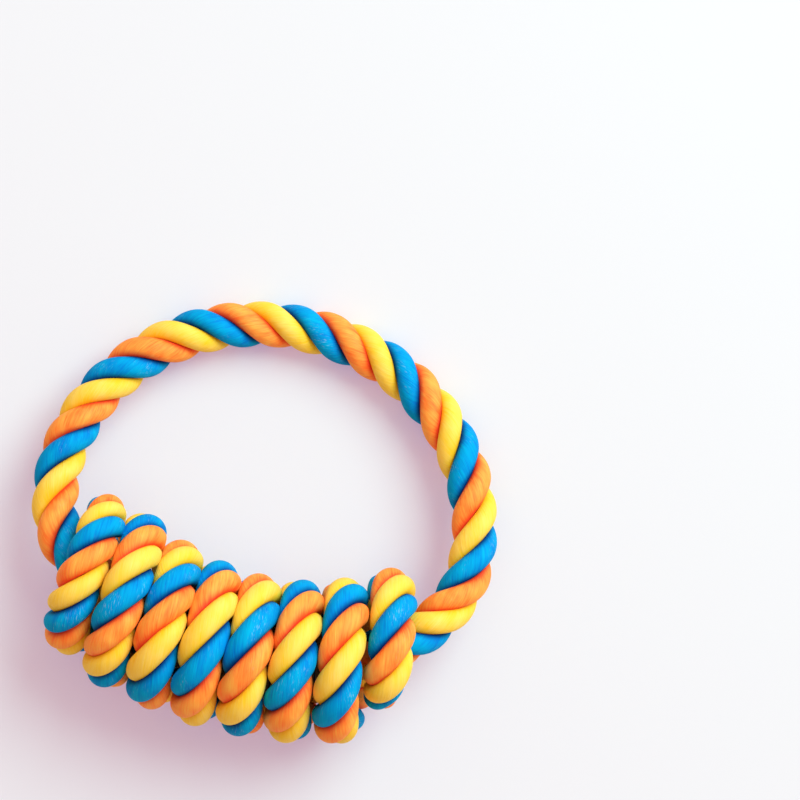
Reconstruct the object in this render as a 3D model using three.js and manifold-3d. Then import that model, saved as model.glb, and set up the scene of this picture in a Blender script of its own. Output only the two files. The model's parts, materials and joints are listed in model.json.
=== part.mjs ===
// Rope dog toy: a ring of three-strand cotton rope whose two ends meet inside a grip,
// where a cord seizing binds them and a second length of the same rope is wound over the joint.
// Millimetres, +Z up, standing on z = 0. X runs along the grip and +Y points from the grip to the ring.
import * as THREE from "three";
import { mergeVertices } from "three/addons/utils/BufferGeometryUtils.js";
import Module from "manifold-3d";

const wasm = await Module();
wasm.setup();

// Rope
const ROPE_DIAMETER = 18;
const STRAND_DIAMETER = 9.6;
const LAY_LENGTH = 40.1;
const STRAND_COLOURS = { yellow: 0xf7d21e, orange: 0xf47a1c, blue: 0x0a86cc };
const CORD_COLOUR = 0x7b6142;

// Grip: the second rope, wound round the joint of the ring's two ends
const TOP_CROSSINGS = 8;
const WOUND_WIDTH = 16.3;
const TURN_GAP = 0.8;
const GRIP_SAG = 15;
const RIGHT_END_LIFT = 5;
const TURN_LEAN = 2;
const GRIP_FAN = 3.3;
const START_ANGLE = -15;
const END_ANGLE = 200;
const TURN_LAYS = [4.57, 4.45, 3.36, 3.37, 3.62, 3.8, 3.64];
const LAY_EASE = 0.06;
const WOUND_PHASE = 0.82;
const CUT_END_LENGTH = 8;
const CUT_END_SQUEEZE = 1.3;
const TUCKED_END_LENGTH = 14;
const TUCKED_END_SQUEEZE = 2.1;
const TUCK = 5;

// Seizing round the joint
const SEIZING_CORD = 4;
const SEIZING_LENGTH = 84;

// Ring
const RING_REACH = 107;
const WIDEST_POINT_RISE = 30.2;
const BOW_CLEARANCE = 4;
const RING_PHASE = 0.54;

// Fits
const STRAND_GAP = 0.4;
const FIT_GAP = 0.3;
const EXIT_CLEARANCE = 0.6;
const REST_CUT = ROPE_DIAMETER / 10;

// Facets
const LOBE_STEPS = 4;
const STEPS_PER_LAY = 10;
const STEPS_PER_TURN = 30;
const SLEEVE_SIDES = 14;
const SLEEVE_STEPS = 10;

const ropeRadius = ROPE_DIAMETER / 2;
const strandRadius = STRAND_DIAMETER / 2;
const pitch = WOUND_WIDTH + TURN_GAP;
const endTurnX = (pitch * (TOP_CROSSINGS - 1)) / 2;
const exitX = endTurnX + WOUND_WIDTH / 2 + EXIT_CLEARANCE;
const seizingInner = ropeRadius + FIT_GAP;
const seizingOuter = seizingInner + SEIZING_CORD;
const middleTurnRadius = seizingOuter + FIT_GAP + ropeRadius;
const endTurnRadius = ropeRadius + FIT_GAP + ropeRadius;
const axisHeight = middleTurnRadius + ropeRadius - REST_CUT;
const ringDroop = Math.asin((axisHeight - ropeRadius + REST_CUT) / RING_REACH);

// The grip's mid line is a shallow parabola in the level plane, bowed away from the ring. From the last turn
// but one, the ring's right leg draws it further toward the ring.
const liftX = endTurnX - pitch;
const lifted = (x) => Math.max(x - liftX, 0) / (exitX - liftX);
const gripY = (x) => -GRIP_SAG * (1 - (x / endTurnX) ** 2) + RIGHT_END_LIFT * lifted(x) ** 2;
const liftSlope = (x) => (2 * RIGHT_END_LIFT * lifted(x)) / (exitX - liftX);
const gripSlope = (x) => (2 * GRIP_SAG * x) / endTurnX ** 2 + liftSlope(x);
const foldY = (gripY(-exitX) + gripY(exitX)) / 2;

const X_AXIS = new THREE.Vector3(1, 0, 0);
const Z_AXIS = new THREE.Vector3(0, 0, 1);
const ease = (t) => THREE.MathUtils.smoothstep(t, 0, 1);

// One strand's section in the rope: a lobe on the rope's outside, with two flat sides that press
// on the other strands. The lobe faces +x, and the first point is the corner at the rope's centre.
function strandSection() {
  const lobeCentre = ropeRadius - strandRadius;
  const sideAngle = Math.PI / 3;
  const apex = STRAND_GAP / 2 / Math.sin(sideAngle);
  const sideDistance = (lobeCentre - apex) * Math.sin(sideAngle);
  const cornerAngle = sideAngle + Math.PI / 2 - Math.acos(sideDistance / strandRadius);
  const points = [new THREE.Vector2(apex, 0)];
  for (let i = 0; i <= LOBE_STEPS; i++) {
    const angle = THREE.MathUtils.lerp(-cornerAngle, cornerAngle, i / LOBE_STEPS);
    const x = lobeCentre + strandRadius * Math.cos(angle);
    const y = strandRadius * Math.sin(angle);
    points.push(new THREE.Vector2(x, y));
  }
  return points;
}

// A round section, for the sleeve that the cord makes.
function roundSection(radius) {
  return Array.from({ length: SLEEVE_SIDES }, (_, i) => {
    const angle = (2 * Math.PI * i) / SLEEVE_SIDES;
    return new THREE.Vector2(radius * Math.cos(angle), radius * Math.sin(angle));
  });
}

// The section's points at one station of a route: turned by the twist, then drawn in or pressed flat.
function placedSection(station, section, phase = 0) {
  const turned = new THREE.Vector2();
  const centre = new THREE.Vector2();
  return section.map((point) => {
    turned.copy(point).rotateAround(centre, 2 * Math.PI * (station.twist + phase));
    return station.centre
      .clone()
      .addScaledVector(station.across, turned.x * station.height)
      .addScaledVector(station.up, turned.y * station.width);
  });
}

function meshGeometry(points, triangles) {
  const geometry = new THREE.BufferGeometry();
  geometry.setAttribute("position", new THREE.Float32BufferAttribute(points.flatMap((p) => p.toArray()), 3));
  geometry.setIndex(triangles);
  return geometry;
}

// The quad between points j and k of one ring and the next. A strand's lobe leans with the lay, and its
// two flat sides both take the diagonal from the centre outwards, so that neighbours stay parallel.
function quad(ring, next, j, k, lean) {
  return lean
    ? [ring + j, ring + k, next + j, ring + k, next + k, next + j]
    : [ring + j, ring + k, next + k, ring + j, next + k, next + j];
}

// A closed solid swept through the stations.
function sweep(stations, section, phase) {
  const sides = section.length;
  const points = stations.flatMap((station) => placedSection(station, section, phase));
  const triangles = [];
  for (let i = 0; i + 1 < stations.length; i++) {
    for (let j = 0; j < sides; j++) {
      const k = (j + 1) % sides;
      triangles.push(...quad(i * sides, (i + 1) * sides, j, k, j > 0));
    }
  }
  const last = (stations.length - 1) * sides;
  for (let j = 1; j + 1 < sides; j++) {
    triangles.push(0, j + 1, j);
    triangles.push(last, last + j, last + j + 1);
  }
  return meshGeometry(points, triangles);
}

// A sleeve swept through the stations, open at both ends. The flats of its bore clear the inner radius.
function sweepSleeve(stations, innerRadius, outerRadius) {
  const rings = stations.length;
  const boreRadius = innerRadius / Math.cos(Math.PI / SLEEVE_SIDES);
  const outer = stations.flatMap((station) => placedSection(station, roundSection(outerRadius)));
  const inner = stations.flatMap((station) => placedSection(station, roundSection(boreRadius)));
  const innerStart = outer.length;
  const lastRing = (rings - 1) * SLEEVE_SIDES;
  const triangles = [];
  for (let j = 0; j < SLEEVE_SIDES; j++) {
    const k = (j + 1) % SLEEVE_SIDES;
    for (let i = 0; i + 1 < rings; i++) {
      const ring = i * SLEEVE_SIDES;
      const next = ring + SLEEVE_SIDES;
      triangles.push(...quad(ring, next, j, k, false));
      triangles.push(...quad(innerStart + ring, innerStart + next, k, j, false));
    }
    triangles.push(...quad(innerStart, 0, j, k, false));
    triangles.push(...quad(lastRing, innerStart + lastRing, j, k, false));
  }
  return meshGeometry([...outer, ...inner], triangles);
}

// A station on a route that lies in its own XY plane. Square is 1 where the section stands square
// to the grip's fold axis, as at the ends that the fold turns on, and 0 where it is square to the route.
function flatStation(centre, tangent, twist, square) {
  const alongGrip = X_AXIS.clone().multiplyScalar(Math.sign(tangent.x));
  const normal = tangent.clone().lerp(alongGrip, square).normalize();
  return {
    centre,
    across: new THREE.Vector3().crossVectors(Z_AXIS, normal),
    up: Z_AXIS,
    twist,
    width: 1,
    height: 1,
  };
}

// The ring's mid line from the left exit over the top to the right one, about the fold axis.
function ringRoute() {
  const bowX = exitX + ropeRadius + BOW_CLEARANCE;
  const leg = (side) => {
    const exit = new THREE.Vector3(side * exitX, gripY(side * exitX) - foldY, 0);
    const outwards = new THREE.Vector3(1, gripSlope(side * exitX), 0).normalize().multiplyScalar(side);
    const widest = new THREE.Vector3(side * bowX, WIDEST_POINT_RISE, 0);
    const legLength = exit.distanceTo(widest);
    return [
      exit,
      exit.clone().addScaledVector(outwards, legLength / 4),
      new THREE.Vector3(side * bowX, WIDEST_POINT_RISE - legLength / 3, 0),
      widest,
    ];
  };
  const archRise = RING_REACH - WIDEST_POINT_RISE;
  const arch = new THREE.EllipseCurve(0, WIDEST_POINT_RISE, bowX, archRise, Math.PI, 0, true);
  const archSteps = 48;
  const route = new THREE.CurvePath();
  route.add(new THREE.CubicBezierCurve3(...leg(-1)));
  const archPoints = arch.getPoints(archSteps).map((p) => new THREE.Vector3(p.x, p.y, 0));
  route.add(new THREE.CatmullRomCurve3(archPoints));
  route.add(new THREE.CubicBezierCurve3(...leg(1).reverse()));
  return route;
}

const route = ringRoute();
const ringLength = route.getLength();

// Turns of lay at a length along the ring's rope from its left exit.
const ringTwist = (along) => RING_PHASE + along / LAY_LENGTH;

function ringStations() {
  const steps = Math.ceil((ringLength / LAY_LENGTH) * STEPS_PER_LAY);
  return Array.from({ length: steps + 1 }, (_, i) => {
    const share = i / steps;
    const centre = route.getPointAt(share);
    const tangent = route.getTangentAt(share);
    const square = 1 - ease((ringLength * Math.min(share, 1 - share)) / ROPE_DIAMETER);
    const station = flatStation(centre, tangent, ringTwist(ringLength * share), square);
    if (i === 0) station.centre.x -= FIT_GAP;
    if (i === steps) station.centre.x += FIT_GAP;
    return station;
  });
}

// One end of the ring's rope inside the grip. It runs the way the ring's rope does: from the joint in
// the middle out to the left exit, and from the right exit in to the joint.
function coreStations(side) {
  const steps = Math.ceil((exitX / LAY_LENGTH) * STEPS_PER_LAY);
  const joint = (side * FIT_GAP) / 2;
  const ends = side < 0 ? [joint, -exitX] : [exitX, joint];
  return Array.from({ length: steps + 1 }, (_, i) => {
    const x = THREE.MathUtils.lerp(...ends, i / steps);
    const along = side < 0 ? -exitX - x : ringLength + exitX - x;
    const tangent = new THREE.Vector3(-1, -gripSlope(x), 0).normalize();
    const square = 1 - ease((exitX - Math.abs(x)) / ROPE_DIAMETER);
    return flatStation(new THREE.Vector3(x, gripY(x), 0), tangent, ringTwist(along), square);
  });
}

const lastAngle = (TOP_CROSSINGS - 1) * 360 + END_ANGLE;
const sweepOf = (length) => THREE.MathUtils.radToDeg(length / endTurnRadius);

// How much of its end an angle on the wound rope lies in: 0 on the whole rope and 1 in the end.
const inStart = (angle) => 1 - ease((angle - START_ANGLE) / sweepOf(CUT_END_LENGTH) - 1);
const inLast = (angle) => 1 - ease((lastAngle - angle) / sweepOf(TUCKED_END_LENGTH) - 1);

// The share of its size that the wound rope keeps: it is drawn in at its two cut ends.
function drawnIn(angle) {
  const squeeze = CUT_END_SQUEEZE * inStart(angle) + TUCKED_END_SQUEEZE * inLast(angle);
  return 1 - squeeze / (WOUND_WIDTH / 2);
}

// The wound rope's mid line at an angle round the grip, counted from the ring's side over the top.
// The turns lean, so that they cross the top nearly square, and fan out round the grip's bow. After its
// last crossing of the top the rope tucks back toward the turn before and down on the rope inside.
function windingPoint(angle) {
  const x = (pitch * (angle - 90)) / 360 - endTurnX;
  const seizedX = (SEIZING_LENGTH + WOUND_WIDTH) / 2;
  const ends = ease((Math.abs(x) - seizedX) / Math.max(endTurnX - seizedX, pitch / 2));
  const sunk = (ropeRadius * TUCKED_END_SQUEEZE * inLast(angle)) / (WOUND_WIDTH / 2);
  const radius = THREE.MathUtils.lerp(middleTurnRadius, endTurnRadius, ends) - sunk;
  const reach = radius * Math.hypot(1, gripSlope(x));
  const turn = THREE.MathUtils.degToRad(angle);
  const shift = (TURN_LEAN - (GRIP_FAN * x) / endTurnX) * Math.cos(turn);
  const tuck = TUCK * ease((x - endTurnX) / (pitch / 4));
  return new THREE.Vector3(x + shift - tuck, gripY(x) + reach * Math.cos(turn), radius * Math.sin(turn));
}

// Turns of lay at an angle round the grip. Hand winding tightens the lay by its own amount in each turn,
// counted from one crossing of the top to the next, and the lay opens a little over the top.
function woundTwist(angle) {
  const turns = (angle - 90) / 360;
  const whole = THREE.MathUtils.clamp(Math.floor(turns), 0, TURN_LAYS.length - 1);
  const before = TURN_LAYS.slice(0, whole).reduce((sum, lays) => sum + lays, 0);
  const opened = (LAY_EASE * Math.sin(2 * Math.PI * turns)) / (2 * Math.PI);
  return WOUND_PHASE + before + TURN_LAYS[whole] * (turns - whole - opened);
}

function windingStation(angle) {
  const nearby = 0.5;
  const centre = windingPoint(angle);
  const tangent = windingPoint(angle + nearby).sub(windingPoint(angle - nearby)).normalize();
  const turn = THREE.MathUtils.degToRad(angle);
  const outwards = new THREE.Vector3(0, Math.cos(turn), Math.sin(turn));
  const up = new THREE.Vector3().crossVectors(tangent, outwards).normalize();
  const room = pitch * (1 - (GRIP_FAN / endTurnX) * Math.cos(turn));
  return {
    centre,
    across: new THREE.Vector3().crossVectors(up, tangent),
    up,
    twist: woundTwist(angle),
    width: ((room - TURN_GAP) / ROPE_DIAMETER) * drawnIn(angle),
    height: drawnIn(angle),
  };
}

function windingStations() {
  const steps = Math.ceil(((lastAngle - START_ANGLE) / 360) * STEPS_PER_TURN);
  return Array.from({ length: steps + 1 }, (_, i) =>
    windingStation(THREE.MathUtils.lerp(START_ANGLE, lastAngle, i / steps)),
  );
}

function seizingStations() {
  return Array.from({ length: SLEEVE_STEPS + 1 }, (_, i) => {
    const x = THREE.MathUtils.lerp(-SEIZING_LENGTH / 2, SEIZING_LENGTH / 2, i / SLEEVE_STEPS);
    const tangent = new THREE.Vector3(1, gripSlope(x), 0).normalize();
    return flatStation(new THREE.Vector3(x, gripY(x), 0), tangent, 0, 0);
  });
}

// The least distance between the wound rope's neighbouring turns, measured on its section points.
function leastTurnGap(stations, section) {
  const strands = [0, 1 / 3, 2 / 3];
  const rope = stations.map((station) => strands.flatMap((phase) => placedSection(station, section, phase)));
  const nearTurn = Math.round(STEPS_PER_TURN / 4);
  let least = Infinity;
  for (let i = 0; i < rope.length; i++) {
    const from = i + STEPS_PER_TURN - nearTurn;
    const to = Math.min(i + STEPS_PER_TURN + nearTurn, rope.length - 1);
    for (let j = from; j <= to; j++) {
      for (const point of rope[i]) {
        least = rope[j].reduce((near, other) => Math.min(near, point.distanceTo(other)), least);
      }
    }
  }
  return least;
}

function toSolid(geometry) {
  const merged = mergeVertices(geometry, 1e-4);
  const vertProperties = new Float32Array(merged.attributes.position.array);
  const triVerts = new Uint32Array(merged.index.array);
  return new wasm.Manifold(new wasm.Mesh({ numProp: 3, vertProperties, triVerts }));
}

function toGeometry(solid) {
  const { numProp, vertProperties, triVerts } = solid.getMesh();
  const points = [];
  for (let i = 0; i < vertProperties.length; i += numProp) {
    points.push(new THREE.Vector3(...vertProperties.subarray(i, i + 3)));
  }
  return meshGeometry(points, Array.from(triVerts));
}

// Flattens a piece where it rests on the floor. The group's matrix places the piece above z = 0.
function cutAtFloor(geometry, group) {
  const size = 6 * RING_REACH;
  const floor = new THREE.BoxGeometry(size, size, size);
  floor.deleteAttribute("normal");
  floor.deleteAttribute("uv");
  floor.translate(0, 0, -size / 2);
  group.updateMatrix();
  floor.applyMatrix4(group.matrix.clone().invert());
  return toGeometry(toSolid(geometry).subtract(toSolid(floor)));
}

function cotton(colour) {
  return new THREE.MeshStandardMaterial({ color: colour, roughness: 0.9, metalness: 0 });
}

function addMesh(group, name, geometry, material) {
  const mesh = new THREE.Mesh(geometry, material);
  mesh.name = name;
  group.add(mesh);
}

const grip = new THREE.Group();
grip.position.set(0, 0, axisHeight);
const ring = new THREE.Group();
ring.position.set(0, foldY, axisHeight);
ring.rotation.x = -ringDroop;

const section = strandSection();
const winding = windingStations();
Object.entries(STRAND_COLOURS).forEach(([colour, hex], third) => {
  const material = cotton(hex);
  const phase = third / 3;
  addMesh(ring, `ring_${colour}_strand`, cutAtFloor(sweep(ringStations(), section, phase), ring), material);
  addMesh(grip, `core_left_${colour}_strand`, sweep(coreStations(-1), section, phase), material);
  addMesh(grip, `core_right_${colour}_strand`, sweep(coreStations(1), section, phase), material);
  addMesh(grip, `winding_${colour}_strand`, cutAtFloor(sweep(winding, section, phase), grip), material);
});

const seizing = sweepSleeve(seizingStations(), seizingInner, seizingOuter);
addMesh(grip, "core_seizing", seizing, cotton(CORD_COLOUR));

// The toy stands with the middle of its box over the origin.
const toy = new THREE.Group();
toy.add(grip, ring);
const middle = new THREE.Box3().setFromObject(toy, true).getCenter(new THREE.Vector3());
toy.position.set(-middle.x, -middle.y, 0);

console.log(`least gap between turns: ${leastTurnGap(winding, section).toFixed(2)} mm`);
console.log(`fold axis: y ${(foldY - middle.y).toFixed(3)}, z ${axisHeight.toFixed(3)} mm`);
console.log(`ring droop: ${THREE.MathUtils.radToDeg(ringDroop).toFixed(3)} degrees`);

const root = new THREE.Group();
root.add(toy);
export default root;
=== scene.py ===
"""Rope dog toy: a ring of three-strand cotton rope, with a grip of rope wound over its joint."""
import json
import math
from dataclasses import dataclass

import bpy
import numpy as np
from mathutils import Matrix, Vector


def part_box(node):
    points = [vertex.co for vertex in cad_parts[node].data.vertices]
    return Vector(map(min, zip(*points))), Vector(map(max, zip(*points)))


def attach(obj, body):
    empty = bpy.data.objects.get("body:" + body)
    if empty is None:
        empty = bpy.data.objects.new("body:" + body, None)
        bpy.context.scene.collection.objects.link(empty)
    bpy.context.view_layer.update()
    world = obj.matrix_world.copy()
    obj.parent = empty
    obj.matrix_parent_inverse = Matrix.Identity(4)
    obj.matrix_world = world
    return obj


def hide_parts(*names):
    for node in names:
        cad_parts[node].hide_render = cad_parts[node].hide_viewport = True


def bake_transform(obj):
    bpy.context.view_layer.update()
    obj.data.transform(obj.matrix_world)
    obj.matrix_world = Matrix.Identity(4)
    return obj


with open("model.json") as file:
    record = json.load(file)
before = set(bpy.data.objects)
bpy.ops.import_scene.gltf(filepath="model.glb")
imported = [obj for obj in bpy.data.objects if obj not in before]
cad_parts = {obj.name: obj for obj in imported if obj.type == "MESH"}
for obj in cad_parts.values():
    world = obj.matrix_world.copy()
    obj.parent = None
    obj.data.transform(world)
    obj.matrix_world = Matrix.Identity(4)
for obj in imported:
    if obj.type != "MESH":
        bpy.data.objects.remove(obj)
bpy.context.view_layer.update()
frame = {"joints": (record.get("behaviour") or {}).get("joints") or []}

# Sizes are in millimetres, angles in degrees and phases in turns, unless a heading says otherwise.
MM = 0.001

# Rope
ROPE_RADIUS = 9.0
LAY_LENGTH = 40.1
LOBE_HEIGHT = 4.45
LOBE_WIDTH = 5.3
INNER_CORNER = 0.8

# Slight unevenness in waves along the strands: plump is a share of their size, and wander is in radians.
PLUMP_WAVES = (23, 41, 67)
PLUMP_AMOUNT = 0.022
WANDER_WAVES = (31, 53, 87)
WANDER_AMOUNT = 0.035
RANDOM_SEED = 7

# Grip
TOP_CROSSINGS = 8
TURN_PITCH = 17.1
WOUND_WIDTH = 16.3
GRIP_SAG = 15.0
RIGHT_END_LIFT = 5.0
TURN_LEAN = 2.0
GRIP_FAN = 3.3
START_ANGLE = -15.0
END_ANGLE = 200.0
TURN_LAYS = (4.57, 4.45, 3.36, 3.37, 3.62, 3.8, 3.64)
LAY_EASE = 0.06
WOUND_PHASE = 0.82
CUT_END_LENGTH = 8.0
CUT_END_SQUEEZE = 1.3
TUCKED_END_LENGTH = 14.0
TUCKED_END_SQUEEZE = 2.1
TUCK = 5.0
EXIT_CLEARANCE = 0.6

# How the turns press on each other, and spread on the free sides of the first and the last turn
PRESS_OVERLAP = 0.9
PRESS_SOFTNESS = 1.3
FREE_SPREAD = 2.0
FREE_SWEEP = 380.0
FREE_EASE = 40.0

# Cord seizing under the turns
FIT_GAP = 0.3
SEIZING_CORD = 4.0
SEIZING_LENGTH = 84.0
SEIZING_SLACK = 0.05

# Ring
RING_REACH = 107.0
WIDEST_POINT_RISE = 30.2
BOW_CLEARANCE = 4.0
RING_PHASE = 0.54
CUT_INSIDE = 10.0
EXIT_EASE = 5.0

# Mesh counts
ROPE_STEP = 0.6
LEG_POINTS = 60
ARCH_POINTS = 400
CORE_POINTS = 80
WINDING_POINTS = 1500
RING_LOBE_POINTS = 36
WOUND_LOBE_POINTS = 32
SEIZING_STEPS_A_TURN = 24
SEIZING_SIDES = 8

# Cotton: each kind of mark's length along the fibres, its width across them and its detail
FIBRE_TILT = 0.12
YARN_MARK = (15, 0.75, 1.0)
HAIR_MARK = (5, 0.3, 3.0)
PATCH_MARK = (9, 6, 2.0)
FLECK_MARK = (1.9, 0.38, 2.0)
WORN_MARK = (14, 9, 1.0)

# Cotton: how far each mark makes the dye paler or duller, how strongly the crowns get a painted highlight
# and the grooves painted shade, and where flecks and worn spots show
YARN_TONE = 0.1
HAIR_TONE = 0.2
PATCH_TONE = 0.2
# Painted highlight: each lobe's crown is painted paler.
CROWN_PAINTED_HIGHLIGHT = 0.32
DULL_SHARE = 0.5
FLECK_RANGE = (0.58, 0.72)
WORN_RANGE = (0.5, 0.66)
LINT_COLOUR = (214, 232, 240)
# Painted shade: the grooves are painted in the deeper groove colour.
GROOVE_PAINTED_SHADE = 0.95

# Cotton: its surface
COTTON_ROUGHNESS = (0.64, 0.84)
YARN_RELIEF = 1.5
HAIR_RELIEF = 0.9
COTTON_BUMP = 0.17

# Jute cord, with its grain in marks to the metre
JUTE_DARK = (104, 80, 50)
JUTE_PALE = (140, 112, 76)
JUTE_GRAIN = 2400.0
JUTE_BUMP = 0.15

# Floor, in metres, with its clouds in marks to the metre. Its tint and glow are linear colours.
FLOOR_HALF = 3.0
FLOOR_DROP = 0.0002
FLOOR_CLOUD = 3.0
FLOOR_DARK = (228, 228, 228)
FLOOR_PALE = (230, 230, 230)
FLOOR_TINT = (0.525, 0.674, 0.583, 1)
FLOOR_GLOW = (0.26, 0.14, 0.32, 1)

# Lamps, in metres and watts. The key stands toward the right and the top of the picture.
KEY_RIGHT = 1.28
KEY_TOP = 1.15
KEY_HEIGHT = 1.68
KEY_SIZE = 1.8
KEY_COLOUR = (0.78, 1.0, 1.08)
KEY_POWER = 57
OVERHEAD_HEIGHT = 1.8
OVERHEAD_SIZE = 2.0
OVERHEAD_COLOUR = (1.0, 0.94, 1.0)
OVERHEAD_POWER = 4

# Sky: its colour, and its strength on the side away from the key and on the key's side
SKY_COLOUR = (1.0, 0.65, 0.43, 1)
SKY_FAR_SIDE = 0.45
SKY_KEY_SIDE = 0.94

# Camera: the photograph is 800 pixels square and looks straight down.
PHOTO_PIXELS = 800
MM_PER_PIXEL = 0.383
GRIP_PIXEL = (238.5, 612.0)
GRIP_FALL = math.radians(15.24)
CAMERA_HEIGHT = 1100.0
SENSOR_WIDTH = 36

END_TURN_X = TURN_PITCH * (TOP_CROSSINGS - 1) / 2
EXIT_X = END_TURN_X + WOUND_WIDTH / 2 + EXIT_CLEARANCE
SEIZING_RADIUS = ROPE_RADIUS + FIT_GAP + SEIZING_CORD / 2
MIDDLE_TURN_RADIUS = ROPE_RADIUS + FIT_GAP + SEIZING_CORD + FIT_GAP + ROPE_RADIUS
END_TURN_RADIUS = ROPE_RADIUS + FIT_GAP + ROPE_RADIUS
LAST_ANGLE = (TOP_CROSSINGS - 1) * 360 + END_ANGLE
LIFT_X = END_TURN_X - TURN_PITCH
RING_DROOP = math.asin(MIDDLE_TURN_RADIUS / RING_REACH)
Z_AXIS = np.array((0.0, 0.0, 1.0))

random = np.random.default_rng(RANDOM_SEED)


@dataclass
class DyeAndPaintedLight:
    """A cotton's screen colours: its dye, a paler one for pale marks and for the painted highlight on each
    lobe's crown, and a deeper one for dull marks and for the painted shade in the grooves; how far that
    painted shade reaches up each lobe, its lint and its gloss.
    """

    body: tuple
    bright: tuple
    groove: tuple
    painted_shade_reach: float
    lint: float
    gloss: float


# Each cotton: its dye, then a paler colour for pale marks and the painted highlight on the crowns, then a
# deeper colour for dull marks and the painted shade in the grooves.
DYES_AND_PAINTED_LIGHT = {
    "yellow": DyeAndPaintedLight((250, 205, 0), (252, 229, 132), (242, 186, 0), painted_shade_reach=0.5, lint=0.1, gloss=0.5),
    "orange": DyeAndPaintedLight((255, 100, 0), (255, 226, 96), (226, 42, 0), painted_shade_reach=0.7, lint=0.1, gloss=0.6),
    "blue": DyeAndPaintedLight((0, 120, 212), (0, 208, 246), (0, 32, 104), painted_shade_reach=0.75, lint=0.34, gloss=0.05),
}


def lifted(x):
    return np.maximum(x - LIFT_X, 0) / (EXIT_X - LIFT_X)


def grip_y(x):
    """The grip's mid line, bowed away from the ring, with its right end drawn toward the ring's leg."""
    return -GRIP_SAG * (1 - (x / END_TURN_X) ** 2) + RIGHT_END_LIFT * lifted(x) ** 2


def grip_slope(x):
    return 2 * GRIP_SAG * x / END_TURN_X**2 + 2 * RIGHT_END_LIFT * lifted(x) / (EXIT_X - LIFT_X)


# The fold axis is the joint's. The grip's own frame is placed from it and from the seizing's middle.
FOLD_Y = (grip_y(-EXIT_X) + grip_y(EXIT_X)) / 2
fold = np.array(frame["joints"][0]["pos_m"]) / MM
seizing_low, seizing_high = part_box("core_seizing")
grip_origin = np.array((
    (seizing_low.x + seizing_high.x) / 2 / MM,
    fold[1] - FOLD_Y,
    fold[2],
))


def ease(t):
    t = np.clip(t, 0, 1)
    return t * t * (3 - 2 * t)


def unit(vectors):
    return vectors / np.linalg.norm(vectors, axis=-1, keepdims=True)


def length_along(line):
    """The length along a line up to each of its points."""
    steps = np.linalg.norm(np.diff(line, axis=0), axis=1)
    return np.concatenate(((0,), np.cumsum(steps)))


def nearest(line, point):
    """The row of a line's nearest point."""
    return np.argmin(np.linalg.norm(line - point, axis=1))


def even_steps(line, step):
    """The same line with its points at even steps, and the length along it up to each."""
    along = length_along(line)
    even = np.linspace(0, along[-1], round(along[-1] / step) + 1)
    return np.stack([np.interp(even, along, line[:, axis]) for axis in range(3)], axis=1), even


def softened(line, spread):
    """The same line with sharp bends eased over a few points, and its two ends kept."""
    bell = 2.5
    weights = np.exp(-0.5 * np.linspace(-bell, bell, round(2 * bell * spread) + 1) ** 2)
    weights /= weights.sum()
    reach = len(weights) // 2
    before = 2 * line[:1] - line[reach:0:-1]
    after = 2 * line[-1:] - line[-2 : -reach - 2 : -1]
    padded = np.concatenate((before, line, after))
    return np.stack([np.convolve(padded[:, axis], weights, "valid") for axis in range(3)], axis=1)


def bezier(corners, count):
    t = np.linspace(0, 1, count)[:, None]
    a, b, c, d = (np.array(corner, float) for corner in corners)
    return a * (1 - t) ** 3 + 3 * b * t * (1 - t) ** 2 + 3 * c * t**2 * (1 - t) + d * t**3


@dataclass
class Route:
    """A rope's mid line, one row for each step: its section's two directions, twist, size and room there."""

    centre: np.ndarray
    across: np.ndarray
    up: np.ndarray
    twist: np.ndarray
    size: np.ndarray
    left: np.ndarray
    right: np.ndarray


def droop(points):
    """Takes points in the ring's own plane, about the fold axis, to the grip's frame."""
    sin, cos = math.sin(RING_DROOP), math.cos(RING_DROOP)
    x, y, z = points.T
    return np.stack((x, FOLD_Y + y * cos + z * sin, z * cos - y * sin), axis=1)


def ring_leg(side, bow):
    """One leg of the ring about the fold axis, from the grip's end to the ring's widest point."""
    exit_point = np.array((side * EXIT_X, grip_y(side * EXIT_X) - FOLD_Y, 0))
    outwards = side * unit(np.array((1, grip_slope(side * EXIT_X), 0)))
    widest = np.array((side * bow, WIDEST_POINT_RISE, 0))
    length = np.linalg.norm(widest - exit_point)
    corners = (exit_point, exit_point + outwards * length / 4, widest - (0, length / 3, 0), widest)
    return bezier(corners, LEG_POINTS)


def ring_line():
    """The ring's mid line about the fold axis, from the left exit over the top to the right exit."""
    bow = EXIT_X + ROPE_RADIUS + BOW_CLEARANCE
    turn = np.linspace(math.pi, 0, ARCH_POINTS)
    rise = RING_REACH - WIDEST_POINT_RISE
    arch = np.stack((bow * np.cos(turn), WIDEST_POINT_RISE + rise * np.sin(turn), 0 * turn), axis=1)
    return np.concatenate((ring_leg(-1, bow)[:-1], arch, ring_leg(1, bow)[::-1][1:]))


def ring_route(step):
    """The ring's rope from the joint inside the grip, round the ring and back to the joint."""
    x = np.linspace(-FIT_GAP / 2, -EXIT_X, CORE_POINTS)
    left_core = np.stack((x, grip_y(x), 0 * x), axis=1)
    right_core = np.stack((-x, grip_y(-x), 0 * x), axis=1)
    ring = droop(ring_line())
    line = np.concatenate((left_core[:-1], ring, right_core[::-1][1:]))
    centre, along = even_steps(line, step)
    centre = softened(centre, round(EXIT_EASE / step))
    tangent = unit(np.gradient(centre, axis=0))
    across = unit(np.cross(Z_AXIS, tangent))
    left_exit = nearest(centre, ring[0])
    ones = np.ones(len(centre))
    return Route(
        centre=centre,
        across=across,
        up=np.cross(tangent, across),
        twist=RING_PHASE + (along - along[left_exit]) / LAY_LENGTH,
        size=ones,
        left=ones * 2 * ROPE_RADIUS,
        right=ones * 2 * ROPE_RADIUS,
    )


def in_end(from_end, length):
    """How much of its end each angle from that end of the wound rope lies in, from 0 to 1."""
    return 1 - ease(from_end / math.degrees(length / END_TURN_RADIUS) - 1)


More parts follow.
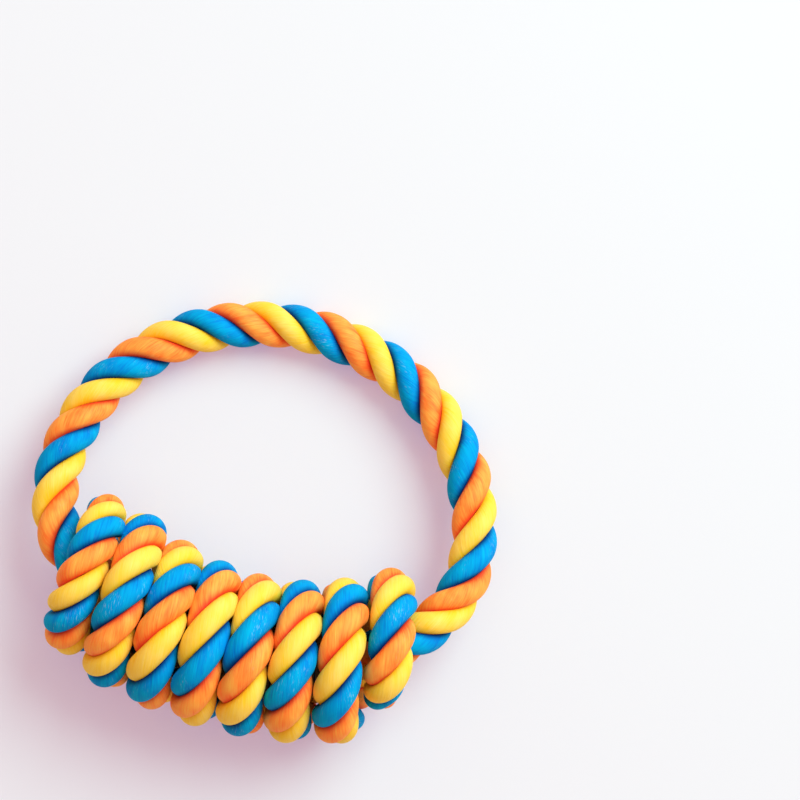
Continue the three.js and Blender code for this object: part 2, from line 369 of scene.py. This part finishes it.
def in_start(angle):
    return in_end(angle - START_ANGLE, CUT_END_LENGTH)


def in_last(angle):
    return in_end(LAST_ANGLE - angle, TUCKED_END_LENGTH)


def winding_point(angle):
    """The wound rope's mid line at angles round the grip, from the ring's side over the top."""
    x = TURN_PITCH * (angle - 90) / 360 - END_TURN_X
    seized_x = (SEIZING_LENGTH + WOUND_WIDTH) / 2
    ends = ease((np.abs(x) - seized_x) / (END_TURN_X - seized_x))
    sunk = ROPE_RADIUS * TUCKED_END_SQUEEZE * in_last(angle) / (WOUND_WIDTH / 2)
    radius = MIDDLE_TURN_RADIUS + (END_TURN_RADIUS - MIDDLE_TURN_RADIUS) * ends - sunk
    turn = np.radians(angle)
    shift = (TURN_LEAN - GRIP_FAN * x / END_TURN_X) * np.cos(turn)
    tuck = TUCK * ease((x - END_TURN_X) / (TURN_PITCH / 4))
    reach = radius * np.hypot(1, grip_slope(x)) * np.cos(turn)
    return np.stack((x + shift - tuck, grip_y(x) + reach, radius * np.sin(turn)), axis=-1)


def wound_twist(angle):
    """Turns of lay at angles round the grip: each turn has its own count, and the lay opens over the top."""
    lays = np.array(TURN_LAYS)
    turns = (angle - 90) / 360
    whole = np.clip(np.floor(turns), 0, len(lays) - 1).astype(int)
    before = np.concatenate(((0,), np.cumsum(lays)))[whole]
    opened = LAY_EASE * np.sin(2 * math.pi * turns) / (2 * math.pi)
    return WOUND_PHASE + before + lays[whole] * (turns - whole - opened)


def free_side(from_end):
    """The extra room on the free side of an end turn, at angles from that end of the wound rope."""
    return FREE_SPREAD * ease((FREE_SWEEP - from_end) / FREE_EASE)


def winding_route(angle):
    """The wound rope at angles round the grip, drawn in at its two cut ends."""
    nearby = 0.5
    turn = np.radians(angle)
    tangent = unit(winding_point(angle + nearby) - winding_point(angle - nearby))
    outwards = np.stack((0 * turn, np.cos(turn), np.sin(turn)), axis=1)
    up = unit(np.cross(tangent, outwards))
    squeeze = CUT_END_SQUEEZE * in_start(angle) + TUCKED_END_SQUEEZE * in_last(angle)
    half_room = TURN_PITCH / 2 * (1 - GRIP_FAN / END_TURN_X * np.cos(turn)) + PRESS_OVERLAP
    return Route(
        centre=winding_point(angle),
        across=np.cross(up, tangent),
        up=up,
        twist=wound_twist(angle),
        size=1 - squeeze / (WOUND_WIDTH / 2),
        left=half_room + free_side(angle - START_ANGLE),
        right=half_room + free_side(LAST_ANGLE - angle),
    )


def strand_section(points):
    """One strand's section: an oval lobe that faces +x and meets its neighbours 60 degrees to each side."""
    centre = ROPE_RADIUS - LOBE_HEIGHT
    slope = math.tan(math.pi / 3)
    lead = math.atan2(slope * LOBE_HEIGHT, LOBE_WIDTH)
    end = lead + math.asin(slope * centre / math.hypot(slope * LOBE_HEIGHT, LOBE_WIDTH))
    t = np.linspace(-end, end, points)
    lobe = np.stack((centre + LOBE_HEIGHT * np.cos(t), LOBE_WIDTH * np.sin(t)), axis=1)
    inner = np.array(((INNER_CORNER, 0.0),))
    return np.concatenate((lobe, inner))


def press(distance, left, right):
    """Flattens what would reach past the neighbouring turns."""
    half = np.where(distance > 0, left, right)
    firm = half - PRESS_SOFTNESS
    over = np.maximum(np.abs(distance) - firm, 0)
    kept = np.minimum(np.abs(distance), firm)
    return np.sign(distance) * (kept + PRESS_SOFTNESS * (1 - np.exp(-over / PRESS_SOFTNESS)))


def unevenness(along, waves, amount):
    """A slow wander along a strand, made of a few waves of chance phase."""
    total = np.zeros_like(along)
    for wavelength in waves:
        total += np.sin(2 * math.pi * (along / wavelength + random.random()))
    return amount * total / len(waves)


def make_object(name, points, faces, material):
    """A tube from points in the grip's frame: smooth, with a sharp edge round its two caps."""
    mesh = bpy.data.meshes.new(name)
    mesh.from_pydata(((points + grip_origin) * MM).tolist(), [], faces)
    mesh.polygons.foreach_set("use_smooth", [True] * len(mesh.polygons))
    ends = np.empty(2 * len(mesh.edges), int)
    mesh.edges.foreach_get("vertices", ends)
    low, high = np.sort(ends.reshape(-1, 2)).T
    cap_points = len(faces[-1])
    round_a_cap = (high < cap_points) | (low >= len(points) - cap_points)
    mesh.edges.foreach_set("use_edge_sharp", round_a_cap.tolist())
    mesh.materials.append(material)
    mesh.update()
    obj = bpy.data.objects.new(name, mesh)
    bpy.context.scene.collection.objects.link(obj)
    return obj


def tube_faces(rings, sides):
    """Quads between rings of points, and a flat cap on each end."""
    ring = np.arange(rings - 1)[:, None] * sides
    side = np.arange(sides)[None, :]
    beside = (side + 1) % sides
    quads = np.stack((ring + side, ring + beside, ring + sides + beside, ring + sides + side), axis=-1)
    last = (rings - 1) * sides
    caps = [list(range(sides))[::-1], list(range(last, last + sides))]
    return quads.reshape(-1, 4).tolist() + caps


@dataclass
class Strand:
    """One strand's surface: a ring of points for each step of its rope, its fibre map and its height."""

    points: np.ndarray
    fibre: np.ndarray
    crown: np.ndarray


def lay_strand(route, third, section_points):
    """One strand of a laid rope, flattened where it rests, with a fibre map along the rope and round it."""
    section = strand_section(section_points)
    along = length_along(route.centre)
    plump = 1 + unevenness(along, PLUMP_WAVES, PLUMP_AMOUNT)
    wander = unevenness(along, WANDER_WAVES, WANDER_AMOUNT)
    angle = 2 * math.pi * (route.twist + third / 3) + wander
    around = np.arctan2(section[:, 1], section[:, 0])
    radius = np.linalg.norm(section, axis=1)
    turned = angle[:, None] + around[None, :]
    reach = radius[None, :] * (plump * route.size)[:, None]
    out = reach * np.cos(turned)
    side = press(reach * np.sin(turned), route.left[:, None], route.right[:, None])
    points = (
        route.centre[:, None, :]
        + route.across[:, None, :] * out[..., None]
        + route.up[:, None, :] * side[..., None]
    )
    points[..., 2] = np.maximum(points[..., 2], -grip_origin[2])
    fibre = np.stack((np.broadcast_to(along[:, None], turned.shape), turned * ROPE_RADIUS), axis=-1)
    groove = radius[0]
    crown = np.clip((radius - groove) / (ROPE_RADIUS - groove), 0, 1)
    return Strand(points, fibre, np.broadcast_to(crown, turned.shape))


def make_strand(name, strand, colour, rows=slice(None)):
    """A piece from some or all of a strand's rings."""
    rings, sides = strand.crown[rows].shape
    obj = make_object(name, strand.points[rows].reshape(-1, 3), tube_faces(rings, sides), cottons[colour])
    corners = np.empty(len(obj.data.loops), int)
    obj.data.loops.foreach_get("vertex_index", corners)
    layer = obj.data.uv_layers.new(name="fibre")
    fibre = strand.fibre[rows].reshape(-1, 2)[corners] * MM
    layer.data.foreach_set("uv", fibre.astype(np.float32).ravel())
    attribute = obj.data.attributes.new("crown", "FLOAT", "POINT")
    attribute.data.foreach_set("value", np.ascontiguousarray(strand.crown[rows], np.float32).ravel())
    return obj


def make_cord(name, centre, radius, sides, material):
    """A plain round cord along a line that never runs in the direction named aside."""
    aside = np.array((0.31, 0.52, 0.79))
    tangent = unit(np.gradient(centre, axis=0))
    across = unit(np.cross(tangent, aside))
    up = np.cross(tangent, across)
    turn = np.linspace(0, 2 * math.pi, sides, endpoint=False)[None, :, None]
    out = across[:, None, :] * np.cos(turn) + up[:, None, :] * np.sin(turn)
    points = centre[:, None, :] + radius * out
    return make_object(name, points.reshape(-1, 3), tube_faces(len(centre), sides), material)


def make_seizing(material):
    """Cord wound closely round the joint of the ring's two ends."""
    turns = SEIZING_LENGTH / SEIZING_CORD
    t = np.linspace(0, 1, round(turns * SEIZING_STEPS_A_TURN) + 1)
    x = (t - 0.5) * SEIZING_LENGTH
    across = unit(np.stack((-grip_slope(x), 1 + 0 * x, 0 * x), axis=1))
    middle = np.stack((x, grip_y(x), 0 * x), axis=1)
    turn = 2 * math.pi * turns * t[:, None]
    line = middle + SEIZING_RADIUS * (across * np.cos(turn) + Z_AXIS * np.sin(turn))
    return make_cord("core_seizing_cord", line, SEIZING_CORD / 2 - SEIZING_SLACK, SEIZING_SIDES, material)


class Nodes:
    """A short way to add and link the nodes of a material or of the sky."""

    def __init__(self, owner, shader="Principled BSDF"):
        owner.use_nodes = True
        self.owner = owner
        self.tree = owner.node_tree
        self.shader = self.tree.nodes[shader]

    def add(self, kind, inputs=None, **settings):
        node = self.tree.nodes.new(kind)
        for key, value in settings.items():
            setattr(node, key, value)
        for key, value in (inputs or {}).items():
            socket = node.inputs[key]
            if isinstance(value, bpy.types.NodeSocket):
                self.tree.links.new(value, socket)
            else:
                socket.default_value = value
        return node

    def math(self, operation, *values):
        return self.add("ShaderNodeMath", dict(enumerate(values)), operation=operation).outputs[0]

    def noise(self, vector, scale, detail):
        inputs = {"Vector": vector, "Scale": scale, "Detail": detail}
        return self.add("ShaderNodeTexNoise", inputs).outputs["Fac"]

    def ranged(self, value, low, high, to_low=0.0, to_high=1.0, **settings):
        """Takes a value from one range to another."""
        inputs = {"Value": value, "From Min": low, "From Max": high, "To Min": to_low, "To Max": to_high}
        return self.add("ShaderNodeMapRange", inputs, **settings).outputs["Result"]

    def spread(self, noise, to_low, to_high):
        """Takes noise, which is mostly from 0.25 to 0.75, to a range."""
        return self.ranged(noise, 0.25, 0.75, to_low, to_high)

    def mix(self, factor, first, second):
        """Mixes two colours, which are the node's inputs 6 and 7, into its output 2."""
        return self.add("ShaderNodeMix", {0: factor, 6: first, 7: second}, data_type="RGBA").outputs[2]

    def bump(self, height, strength, depth):
        inputs = {"Strength": strength, "Distance": depth * MM, "Height": height}
        return self.add("ShaderNodeBump", inputs).outputs["Normal"]

    def link(self, value, socket):
        self.tree.links.new(value, self.shader.inputs[socket])

    def fix(self, values):
        """Sets the shader's values that are the same all over."""
        for socket, value in values.items():
            self.shader.inputs[socket].default_value = value


def linear(red, green, blue):
    """A screen colour from 0 to 255 as linear light, with full alpha."""
    screen = np.array((red, green, blue)) / 255
    light = np.where(screen <= 0.04045, screen / 12.92, ((screen + 0.055) / 1.055) ** 2.4)
    return (*light.tolist(), 1.0)


def fibre_marks(nodes, kind):
    """Noise in one kind of mark, drawn out along the fibres."""
    length, width, detail = kind
    fibre = nodes.add("ShaderNodeUVMap", uv_map="fibre").outputs["UV"]
    place = nodes.add("ShaderNodeSeparateXYZ", {"Vector": fibre}).outputs
    tilted = nodes.math("MULTIPLY_ADD", place["X"], FIBRE_TILT, place["Y"])
    x = nodes.math("MULTIPLY", place["X"], 1 / (length * MM))
    y = nodes.math("MULTIPLY", tilted, 1 / (width * MM))
    mark = nodes.add("ShaderNodeCombineXYZ", {"X": x, "Y": y}).outputs["Vector"]
    return nodes.noise(mark, 1.0, detail)


def cotton_colour(nodes, dye_and_painted_light, yarn, hair):
    """Dye painted paler on each lobe's crown as a highlight and deeper in the grooves as shade, with pale
    lint on worn spots.
    """
    groove = linear(*dye_and_painted_light.groove)
    crown = nodes.add("ShaderNodeAttribute", attribute_name="crown").outputs["Fac"]
    patch = fibre_marks(nodes, PATCH_MARK)
    tone = nodes.math(
        "ADD",
        nodes.spread(yarn, -YARN_TONE, YARN_TONE),
        nodes.spread(hair, -HAIR_TONE, HAIR_TONE),
    )
    tone = nodes.math("ADD", tone, nodes.spread(patch, -PATCH_TONE, PATCH_TONE))
    # Random tone of the marks, plus a painted highlight that grows toward each lobe's crown.
    tone_and_highlight = nodes.math("MULTIPLY_ADD", crown, CROWN_PAINTED_HIGHLIGHT, tone)
    dullness = nodes.math("MULTIPLY", tone_and_highlight, -DULL_SHARE)
    top = nodes.mix(nodes.math("MAXIMUM", tone_and_highlight, 0.0), linear(*dye_and_painted_light.body), linear(*dye_and_painted_light.bright))
    top = nodes.mix(nodes.math("MAXIMUM", dullness, 0.0), top, groove)

    flecks = nodes.ranged(fibre_marks(nodes, FLECK_MARK), *FLECK_RANGE)
    worn = nodes.ranged(fibre_marks(nodes, WORN_MARK), *WORN_RANGE)
    linted = nodes.math("MULTIPLY", flecks, worn)
    linted = nodes.math("MULTIPLY", linted, nodes.math("MULTIPLY", crown, dye_and_painted_light.lint))
    top = nodes.mix(linted, top, linear(*LINT_COLOUR))

    # Painted shade: down each lobe's sides toward the grooves the colour turns to the groove colour.
    depth = nodes.ranged(crown, 0.0, dye_and_painted_light.painted_shade_reach, GROOVE_PAINTED_SHADE, 0.0, interpolation_type="SMOOTHSTEP")
    return nodes.mix(depth, top, groove)


def cotton(name, dye_and_painted_light):
    """Dyed cotton strand, with yarns and fibres that run along the rope."""
    nodes = Nodes(bpy.data.materials.new(name))
    yarn = fibre_marks(nodes, YARN_MARK)
    hair = fibre_marks(nodes, HAIR_MARK)
    relief = nodes.math("MULTIPLY_ADD", yarn, YARN_RELIEF, nodes.math("MULTIPLY", hair, HAIR_RELIEF))
    nodes.link(cotton_colour(nodes, dye_and_painted_light, yarn, hair), "Base Color")
    nodes.link(nodes.spread(hair, *COTTON_ROUGHNESS), "Roughness")
    nodes.link(nodes.bump(relief, strength=0.7, depth=COTTON_BUMP), "Normal")
    nodes.fix({
        "Specular IOR Level": dye_and_painted_light.gloss,
        "Sheen Weight": 0.06,
        "Sheen Roughness": 0.4,
        "Sheen Tint": linear(*dye_and_painted_light.bright),
    })
    return nodes.owner


def cord_material():
    """Undyed twisted jute."""
    nodes = Nodes(bpy.data.materials.new("undyed_cord"))
    place = nodes.add("ShaderNodeTexCoord").outputs["Object"]
    grain = nodes.noise(place, JUTE_GRAIN, detail=3.0)
    colour = nodes.mix(nodes.spread(grain, 0.0, 1.0), linear(*JUTE_DARK), linear(*JUTE_PALE))
    nodes.link(colour, "Base Color")
    nodes.link(nodes.bump(grain, strength=0.5, depth=JUTE_BUMP), "Normal")
    nodes.fix({"Roughness": 0.9, "Sheen Weight": 0.2})
    return nodes.owner


def floor_material():
    """Pale floor. Where it is seen, part of it is an even glow, which keeps shadows light and pink."""
    nodes = Nodes(bpy.data.materials.new("pale_floor"))
    place = nodes.add("ShaderNodeTexCoord").outputs["Object"]
    cloud = nodes.spread(nodes.noise(place, FLOOR_CLOUD, detail=1.0), 0.0, 1.0)
    nodes.link(nodes.mix(cloud, linear(*FLOOR_DARK), linear(*FLOOR_PALE)), "Base Color")
    nodes.fix({"Roughness": 0.95, "Specular IOR Level": 0.1})
    shaded = nodes.add("ShaderNodeBsdfDiffuse", {"Color": FLOOR_TINT}).outputs["BSDF"]
    glow = nodes.add("ShaderNodeEmission", {"Color": FLOOR_GLOW}).outputs["Emission"]
    seen = nodes.add("ShaderNodeAddShader", {0: shaded, 1: glow}).outputs["Shader"]
    ray = nodes.add("ShaderNodeLightPath").outputs
    looks = nodes.math("MAXIMUM", ray["Is Camera Ray"], ray["Is Glossy Ray"])
    looks = nodes.math("MAXIMUM", looks, ray["Is Transmission Ray"])
    whole = nodes.add("ShaderNodeMixShader", {0: looks, 1: nodes.shader.outputs["BSDF"], 2: seen})
    surface = nodes.tree.nodes["Material Output"].inputs["Surface"]
    nodes.tree.links.new(whole.outputs["Shader"], surface)
    return nodes.owner


def make_camera():
    """Straight above what is in the photograph's middle, turned so that the grip falls as it does there."""
    right = Vector((math.cos(GRIP_FALL), math.sin(GRIP_FALL), 0))
    up = Vector((-math.sin(GRIP_FALL), math.cos(GRIP_FALL), 0))
    to_right = (PHOTO_PIXELS / 2 - GRIP_PIXEL[0]) * MM_PER_PIXEL
    to_top = (GRIP_PIXEL[1] - PHOTO_PIXELS / 2) * MM_PER_PIXEL
    aim = Vector(grip_origin) + right * to_right + up * to_top
    camera = bpy.data.cameras.new("camera")
    camera.sensor_width = SENSOR_WIDTH
    camera.lens = camera.sensor_width * CAMERA_HEIGHT / (PHOTO_PIXELS * MM_PER_PIXEL)
    obj = bpy.data.objects.new("camera", camera)
    obj.matrix_world = Matrix((
        (right.x, up.x, 0, aim.x * MM),
        (right.y, up.y, 0, aim.y * MM),
        (right.z, up.z, 1, (aim.z + CAMERA_HEIGHT) * MM),
        (0, 0, 0, 1),
    ))
    bpy.context.scene.collection.objects.link(obj)
    bpy.context.scene.camera = obj
    return right, up


def add_lamp(name, place, size, colour, power):
    """A round lamp that points at the origin, which is under the middle of the toy."""
    lamp = bpy.data.lights.new(name, "AREA")
    lamp.shape = "DISK"
    lamp.size = size
    lamp.color = colour
    lamp.energy = power
    obj = bpy.data.objects.new(name, lamp)
    obj.location = place
    obj.rotation_euler = (Vector() - place).to_track_quat("-Z", "Y").to_euler()
    bpy.context.scene.collection.objects.link(obj)


def make_sky(key_side):
    """A warm sky, brighter on the key's side."""
    nodes = Nodes(bpy.data.worlds.new("sky"), "Background")
    direction = nodes.add("ShaderNodeTexCoord").outputs["Generated"]
    facing = nodes.add("ShaderNodeVectorMath", {0: direction, 1: key_side}, operation="DOT_PRODUCT")
    level = nodes.ranged(facing.outputs["Value"], -1, 1, SKY_FAR_SIDE, SKY_KEY_SIDE)
    nodes.link(level, "Strength")
    nodes.fix({"Color": SKY_COLOUR})
    bpy.context.scene.world = nodes.owner


def make_floor(material):
    """A wide pale floor under the toy."""
    half = FLOOR_HALF
    mesh = bpy.data.meshes.new("floor")
    corners = [(-half, -half, 0), (half, -half, 0), (half, half, 0), (-half, half, 0)]
    mesh.from_pydata(corners, [], [(0, 1, 2, 3)])
    mesh.materials.append(material)
    obj = bpy.data.objects.new("floor", mesh)
    obj.location.z = -FLOOR_DROP
    bpy.context.scene.collection.objects.link(obj)


right, up = make_camera()

cottons = {colour: cotton(f"{colour}_cotton", dye_and_painted_light) for colour, dye_and_painted_light in DYES_AND_PAINTED_LIGHT.items()}

# The ring's rope runs on into the grip. It is cut a little inside each end turn, where the cut is hidden.
ring_rope = ring_route(ROPE_STEP)
exits = [np.array((side * EXIT_X, grip_y(side * EXIT_X), 0)) for side in (-1, 1)]
left_cut, right_cut = (nearest(ring_rope.centre, point) for point in exits)
left_cut -= round(CUT_INSIDE / ROPE_STEP)
right_cut += round(CUT_INSIDE / ROPE_STEP)
ring_rows = slice(left_cut, right_cut + 1)
core_rows = {"left": slice(0, left_cut + 1), "right": slice(right_cut, None)}

winding_rope = winding_route(np.linspace(START_ANGLE, LAST_ANGLE, WINDING_POINTS))
for third, colour in enumerate(DYES_AND_PAINTED_LIGHT):
    strand = lay_strand(ring_rope, third, RING_LOBE_POINTS)
    piece = make_strand(f"ring_{colour}_yarns", strand, colour, ring_rows)
    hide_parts(f"ring_{colour}_strand")
    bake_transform(piece)
    for side, rows in core_rows.items():
        piece = make_strand(f"core_{side}_{colour}_yarns", strand, colour, rows)
        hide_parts(f"core_{side}_{colour}_strand")
        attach(piece, "grip")

    strand = lay_strand(winding_rope, third, WOUND_LOBE_POINTS)
    piece = make_strand(f"winding_{colour}_yarns", strand, colour)
    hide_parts(f"winding_{colour}_strand")
    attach(piece, "grip")

seizing = make_seizing(cord_material())
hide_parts("core_seizing")
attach(seizing, "grip")

make_floor(floor_material())

# Soft studio light: a broad key from the upper right of the picture, a weak lamp overhead, and the sky.
key_place = right * KEY_RIGHT + up * KEY_TOP + Vector((0, 0, KEY_HEIGHT))
add_lamp("key", key_place, KEY_SIZE, KEY_COLOUR, KEY_POWER)
add_lamp("overhead", Vector((0, 0, OVERHEAD_HEIGHT)), OVERHEAD_SIZE, OVERHEAD_COLOUR, OVERHEAD_POWER)
make_sky((right + up).normalized())

bpy.context.scene.view_settings.view_transform = "Standard"
